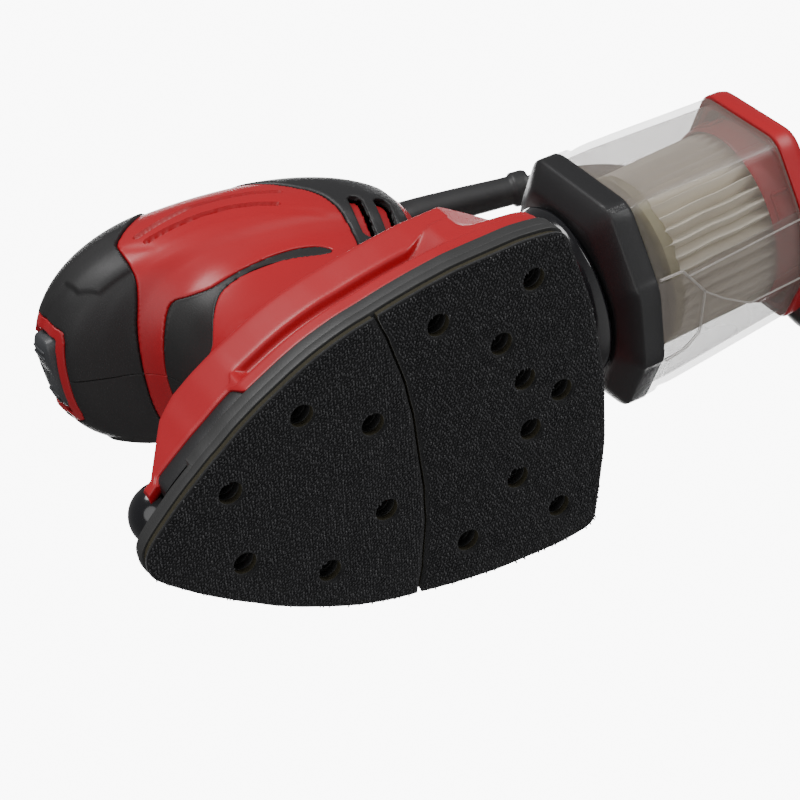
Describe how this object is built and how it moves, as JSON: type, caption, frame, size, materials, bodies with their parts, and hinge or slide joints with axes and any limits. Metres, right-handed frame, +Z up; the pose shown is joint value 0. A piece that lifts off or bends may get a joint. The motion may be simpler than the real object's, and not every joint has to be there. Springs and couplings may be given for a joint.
{
  "type": "detail sander",
  "caption": "Palm-grip detail sander with an iron-shaped orbiting pad, a rear clear dust canister with pleated filter, and a mains cord with plug.",
  "frame": {"origin": "centre of the sanding face, midway between the pad's tip and its rear edge", "axes": "+X towards the pad's tip, +Y to the tool's left, +Z up out of the pad"},
  "size_m": [0.3138, 0.1597, 0.1312],
  "materials": {
    "black_plastic": "fine textured black plastic",
    "brass": "stamped brass",
    "carbon": "pressed carbon",
    "copper_winding": "enamelled copper wire",
    "cord_rubber": "matt rubber jacket",
    "filter_paper": "pleated filter paper",
    "foam": "dense dark foam",
    "gloss_black_plastic": "polished black plastic",
    "grey_plastic": "dark grey plastic",
    "grip_rubber": "soft matt rubber overmould",
    "hook_fabric": "hook-and-loop fabric",
    "laminated_steel": "varnished steel laminations",
    "red_plastic": "smooth moulded red plastic with a soft sheen",
    "smoke_clear_plastic": "tinted clear plastic",
    "steel": "machined steel"
  },
  "bodies": {
    "housing": {"base_shroud": "red_plastic", "front_bumper": "gloss_black_plastic", "rubber_post_1": "grip_rubber", "rubber_post_2": "grip_rubber", "rubber_post_3": "grip_rubber", "rubber_post_4": "grip_rubber", "motor_bracket": "black_plastic", "lower_bearing": "steel", "upper_bearing": "steel", "bearing_cap": "black_plastic", "field_core": "laminated_steel", "field_coil_front": "copper_winding", "field_coil_rear": "copper_winding", "carbon_brush_left": "carbon", "carbon_brush_right": "carbon", "brush_holder_left": "brass", "brush_holder_right": "brass", "housing_left": "red_plastic", "housing_right": "red_plastic", "housing_screw_1": "steel", "housing_screw_2": "steel", "housing_screw_3": "steel", "housing_screw_4": "steel", "nose_grip_left": "grip_rubber", "nose_grip_right": "grip_rubber", "grip_band_left": "grip_rubber", "grip_band_right": "grip_rubber", "vent_cover": "black_plastic", "switch_body": "black_plastic", "dust_port": "gloss_black_plastic", "cord_clamp": "black_plastic", "strain_relief": "cord_rubber", "power_cord": "cord_rubber", "cord_coil": "cord_rubber", "cord_tie": "cord_rubber", "plug_body": "black_plastic", "plug_blade_1": "brass", "plug_blade_2": "brass"},
    "rotor": {"eccentric_hub": "steel", "counterweight": "steel", "cooling_fan": "black_plastic", "armature_shaft": "steel", "armature_core": "laminated_steel", "armature_winding_lower": "copper_winding", "armature_winding_upper": "copper_winding", "commutator": "copper_winding"},
    "platen": {"platen": "black_plastic", "eccentric_bearing": "steel", "foam_tip": "foam", "foam_rear": "foam", "hook_sheet_tip": "hook_fabric", "hook_sheet_rear": "hook_fabric"},
    "switch": {"switch_rocker": "grey_plastic"},
    "canister": {"canister_collar": "black_plastic", "cup_gasket": "grip_rubber", "canister_cup": "smoke_clear_plastic"},
    "end_cap": {"end_cap": "red_plastic"},
    "filter": {"filter_media": "filter_paper", "filter_front_plate": "filter_paper", "filter_rear_frame": "black_plastic"}
  },
  "joints": [
    {"name": "motor_spin", "type": "hinge", "parent": "housing", "child": "rotor", "pos_m": [-0.008, 0, 0.06], "axis": [0, 0, 1], "continuous": true},
    {"name": "pad_orbit", "type": "hinge", "parent": "rotor", "child": "platen", "pos_m": [-0.0071, 0, 0.0105], "axis": [0, 0, 1], "continuous": true},
    {"name": "switch_tilt", "type": "hinge", "parent": "housing", "child": "switch", "pos_m": [0.05, 0, 0.103], "axis": [0, 0, 1], "range_deg": [0, 12]},
    {"name": "canister_pull", "type": "slide", "parent": "housing", "child": "canister", "axis": [-1, 0, 0], "range_m": [0, 0.045]},
    {"name": "end_cap_pull", "type": "slide", "parent": "canister", "child": "end_cap", "axis": [-0.9972, 0, 0.0744], "range_m": [0, 0.055]},
    {"name": "filter_twist", "type": "hinge", "parent": "end_cap", "child": "filter", "pos_m": [-0.13, 0, 0.04548], "axis": [-0.9972, 0, 0.0744], "range_deg": [0, 20]}
  ],
  "couplings": [
    {"joint": "pad_orbit", "follows": "motor_spin", "ratio": -1}
  ]
}
